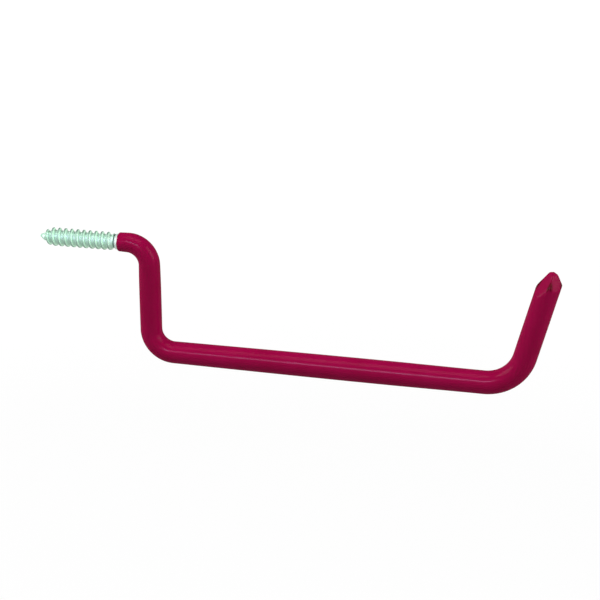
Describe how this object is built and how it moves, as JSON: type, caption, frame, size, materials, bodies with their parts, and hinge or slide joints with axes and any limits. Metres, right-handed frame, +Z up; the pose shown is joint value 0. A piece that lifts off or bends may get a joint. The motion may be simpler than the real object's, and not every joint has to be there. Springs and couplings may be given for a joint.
{
  "type": "screw-in utility hook",
  "caption": "Bent steel rod hook with a wood-screw thread at the wall end, a long level arm with an upturned end, and a glossy red vinyl dip coating.",
  "frame": {"origin": "on the screw axis in the wall plane, where the coating ends", "axes": "+X out of the wall along the arm, +Z up, the hook lies in the XZ plane and the screw points to -X"},
  "size_m": [0.2232, 0.0102, 0.058],
  "materials": {
    "plated_steel": "bright zinc plate",
    "red_vinyl": "glossy dip coat"
  },
  "bodies": {
    "root": {"steel_rod": "plated_steel", "vinyl_coating": "red_vinyl"}
  },
  "joints": []
}
